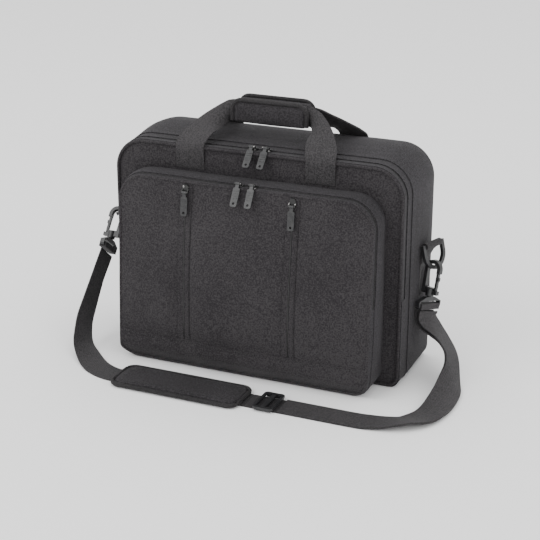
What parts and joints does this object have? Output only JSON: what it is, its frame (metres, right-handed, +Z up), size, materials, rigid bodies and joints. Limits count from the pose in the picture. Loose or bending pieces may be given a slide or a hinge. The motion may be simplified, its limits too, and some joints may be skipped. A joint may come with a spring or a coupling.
{
  "type": "flight bag",
  "caption": "Soft-sided black flight bag with a zipped main compartment, raised zipped front pocket, padded carry handles and a clip-on padded shoulder strap lying in front.",
  "frame": {"origin": "on the ground under the bag's resting face, midway between its side seams and midway between the pocket's face and the back panel", "axes": "+X to the bag's right as its front is faced, -Y out of the front, +Z up"},
  "size_m": [0.5783, 0.2845, 0.379],
  "materials": {
    "panel_fabric": "woven polyester, coarse plain weave",
    "gusset_fabric": "woven polyester, coarse plain weave",
    "lining": "smooth lining cloth over foam",
    "zip_tape": "knitted tape with a nylon coil",
    "webbing": "ribbed flat webbing",
    "grip_fabric": "woven polyester with bound edges",
    "pad_fabric": "woven polyester with bound edges",
    "foam_board": "closed-cell foam board",
    "base_board": "stiff polyethylene board",
    "slider_metal": "black lacquer with worn edges",
    "zip_pull": "moulded, satin",
    "hardware_plastic": "moulded acetal, satin"
  },
  "bodies": {
    "bag": {"back_panel": "panel_fabric", "back_foam": "foam_board", "upper_gusset": "gusset_fabric", "zip_gusset": "gusset_fabric", "main_zip_rear": "zip_tape", "lower_gusset": "gusset_fabric", "lower_front_panel": "panel_fabric", "base_board": "base_board", "laptop_divider": "lining", "divider_strap": "webbing", "pocket_base_gusset": "gusset_fabric", "pocket_lower_face": "panel_fabric", "bottom_band": "panel_fabric", "side_tab_left": "webbing", "side_tab_right": "webbing", "rear_handle_anchors": "webbing", "strap_left_run": "webbing", "strap_lower_layer": "webbing", "strap_upper_layer": "webbing"},
    "main_flap": {"upper_front_panel": "panel_fabric", "main_zip_front": "zip_tape", "pocket_gusset": "gusset_fabric", "pocket_zip_rear": "zip_tape", "front_handle_anchors": "webbing"},
    "pocket_flap": {"pocket_face_panels": "panel_fabric", "pocket_zip_front": "zip_tape", "slit_zip_left": "zip_tape", "slit_zip_right": "zip_tape"},
    "front_handle": {"front_handle_webbing": "webbing", "front_grip": "grip_fabric"},
    "rear_handle": {"rear_handle_webbing": "webbing", "rear_grip": "grip_fabric"},
    "main_slider_left": {"main_slider_left": "slider_metal"},
    "main_slider_right": {"main_slider_right": "slider_metal"},
    "pocket_slider_left": {"pocket_slider_left": "slider_metal"},
    "pocket_slider_right": {"pocket_slider_right": "slider_metal"},
    "slit_slider_left": {"slit_slider_left": "slider_metal"},
    "slit_slider_right": {"slit_slider_right": "slider_metal"},
    "main_pull_left": {"main_pull_left": "zip_pull"},
    "main_pull_right": {"main_pull_right": "zip_pull"},
    "pocket_pull_left": {"pocket_pull_left": "zip_pull"},
    "pocket_pull_right": {"pocket_pull_right": "zip_pull"},
    "slit_pull_left": {"slit_pull_left": "zip_pull"},
    "slit_pull_right": {"slit_pull_right": "zip_pull"},
    "tri_glide": {"tri_glide": "hardware_plastic"},
    "shoulder_pad": {"shoulder_pad": "pad_fabric"},
    "ring_left": {"d_ring_left": "hardware_plastic"},
    "hook_left": {"snap_hook_left": "hardware_plastic"},
    "gate_left": {"hook_gate_left": "hardware_plastic"},
    "swivel_left": {"swivel_base_left": "hardware_plastic", "strap_loop_left": "webbing"},
    "ring_right": {"d_ring_right": "hardware_plastic"},
    "hook_right": {"snap_hook_right": "hardware_plastic"},
    "gate_right": {"hook_gate_right": "hardware_plastic"},
    "swivel_right": {"swivel_base_right": "hardware_plastic", "strap_loop_right": "webbing"}
  },
  "joints": [
    {"name": "main_flap_fold", "type": "hinge", "parent": "bag", "child": "main_flap", "pos_m": [0, -0.04, 0.13], "axis": [1, 0, 0], "range_deg": [0, 25]},
    {"name": "pocket_flap_fold", "type": "hinge", "parent": "main_flap", "child": "pocket_flap", "pos_m": [0, -0.09247, 0.13201], "axis": [1, 0, 0], "range_deg": [0, 110]},
    {"name": "front_handle_fold", "type": "hinge", "parent": "main_flap", "child": "front_handle", "pos_m": [0, -0.044, 0.3193], "axis": [1, 0, 0], "range_deg": [0, 160]},
    {"name": "rear_handle_fold", "type": "hinge", "parent": "bag", "child": "rear_handle", "pos_m": [0, 0.094, 0.3193], "axis": [1, 0, 0], "range_deg": [-215, 0]},
    {"name": "main_slider_left_travel", "type": "slide", "parent": "main_flap", "child": "main_slider_left", "axis": [-1, 0, 0], "range_m": [0, 0.05]},
    {"name": "main_slider_right_travel", "type": "slide", "parent": "main_flap", "child": "main_slider_right", "axis": [1, 0, 0], "range_m": [0, 0.05]},
    {"name": "pocket_slider_left_travel", "type": "slide", "parent": "pocket_flap", "child": "pocket_slider_left", "axis": [-1, 0, 0], "range_m": [0, 0.05]},
    {"name": "pocket_slider_right_travel", "type": "slide", "parent": "pocket_flap", "child": "pocket_slider_right", "axis": [1, 0, 0], "range_m": [0, 0.04]},
    {"name": "slit_slider_left_travel", "type": "slide", "parent": "pocket_flap", "child": "slit_slider_left", "axis": [0, -0.0593, -0.9982], "range_m": [0, 0.078]},
    {"name": "slit_slider_right_travel", "type": "slide", "parent": "pocket_flap", "child": "slit_slider_right", "axis": [0, -0.0593, -0.9982], "range_m": [0, 0.078]},
    {"name": "main_pull_left_swing", "type": "hinge", "parent": "main_slider_left", "child": "main_pull_left", "pos_m": [-0.0065, -0.0358, 0.3238], "axis": [1, 0, 0], "range_deg": [-215, 0]},
    {"name": "main_pull_right_swing", "type": "hinge", "parent": "main_slider_right", "child": "main_pull_right", "pos_m": [0.0145, -0.0358, 0.3238], "axis": [1, 0, 0], "range_deg": [-215, 0]},
    {"name": "pocket_pull_left_swing", "type": "hinge", "parent": "pocket_slider_left", "child": "pocket_pull_left", "pos_m": [-0.0065, -0.08187, 0.28355], "axis": [1, 0, 0], "range_deg": [-185, 0]},
    {"name": "pocket_pull_right_swing", "type": "hinge", "parent": "pocket_slider_right", "child": "pocket_pull_right", "pos_m": [0.0145, -0.08187, 0.28355], "axis": [1, 0, 0], "range_deg": [-185, 0]},
    {"name": "slit_pull_left_swing", "type": "hinge", "parent": "slit_slider_left", "child": "slit_pull_left", "pos_m": [-0.084, -0.09007, 0.2634], "axis": [1, 0, 0], "range_deg": [-165, 0]},
    {"name": "slit_pull_right_swing", "type": "hinge", "parent": "slit_slider_right", "child": "slit_pull_right", "pos_m": [0.076, -0.09007, 0.2634], "axis": [1, 0, 0], "range_deg": [-165, 0]},
    {"name": "ring_right_swing", "type": "hinge", "parent": "bag", "child": "ring_right", "pos_m": [0.235, 0.041, 0.19], "axis": [0.342, 0.9397, 0], "range_deg": [-40, 0]},
    {"name": "ring_left_swing", "type": "hinge", "parent": "bag", "child": "ring_left", "pos_m": [-0.235, 0.041, 0.19], "axis": [0, 1, 0], "range_deg": [-10, 35]},
    {"name": "hook_right_swing", "type": "hinge", "parent": "ring_right", "child": "hook_right", "pos_m": [0.24087, 0.03427, 0.15866], "axis": [0.3345, 0.9192, -0.2079], "range_deg": [-30, 1]},
    {"name": "hook_left_swing", "type": "hinge", "parent": "ring_left", "child": "hook_left", "pos_m": [-0.25822, 0.02823, 0.17374], "axis": [0, 0.788, -0.6157], "range_deg": [-15, 0]},
    {"name": "gate_right_press", "type": "hinge", "parent": "hook_right", "child": "gate_right", "pos_m": [0.24712, 0.02514, 0.12834], "axis": [0.3345, 0.9192, -0.2079], "range_deg": [-14, 0], "stiffness_Nm_per_rad": 0.05},
    {"name": "gate_left_press", "type": "hinge", "parent": "hook_left", "child": "gate_left", "pos_m": [-0.26722, 0.00914, 0.14931], "axis": [0, 0.788, -0.6157], "range_deg": [0, 14], "stiffness_Nm_per_rad": 0.05},
    {"name": "swivel_right_turn", "type": "hinge", "parent": "hook_right", "child": "swivel_right", "pos_m": [0.23802, 0.02646, 0.11954], "axis": [-0.0711, -0.1954, -0.9781], "range_deg": [-45, 10]},
    {"name": "swivel_left_turn", "type": "hinge", "parent": "hook_left", "child": "swivel_left", "pos_m": [-0.25822, 0.0036, 0.14222], "axis": [0, -0.6157, -0.788], "range_deg": [-20, 45]},
    {"name": "tri_glide_travel", "type": "slide", "parent": "bag", "child": "tri_glide", "axis": [1, 0, 0], "range_m": [0, 0.05]},
    {"name": "shoulder_pad_travel", "type": "slide", "parent": "bag", "child": "shoulder_pad", "axis": [1, 0, 0], "range_m": [0, 0.015]}
  ]
}
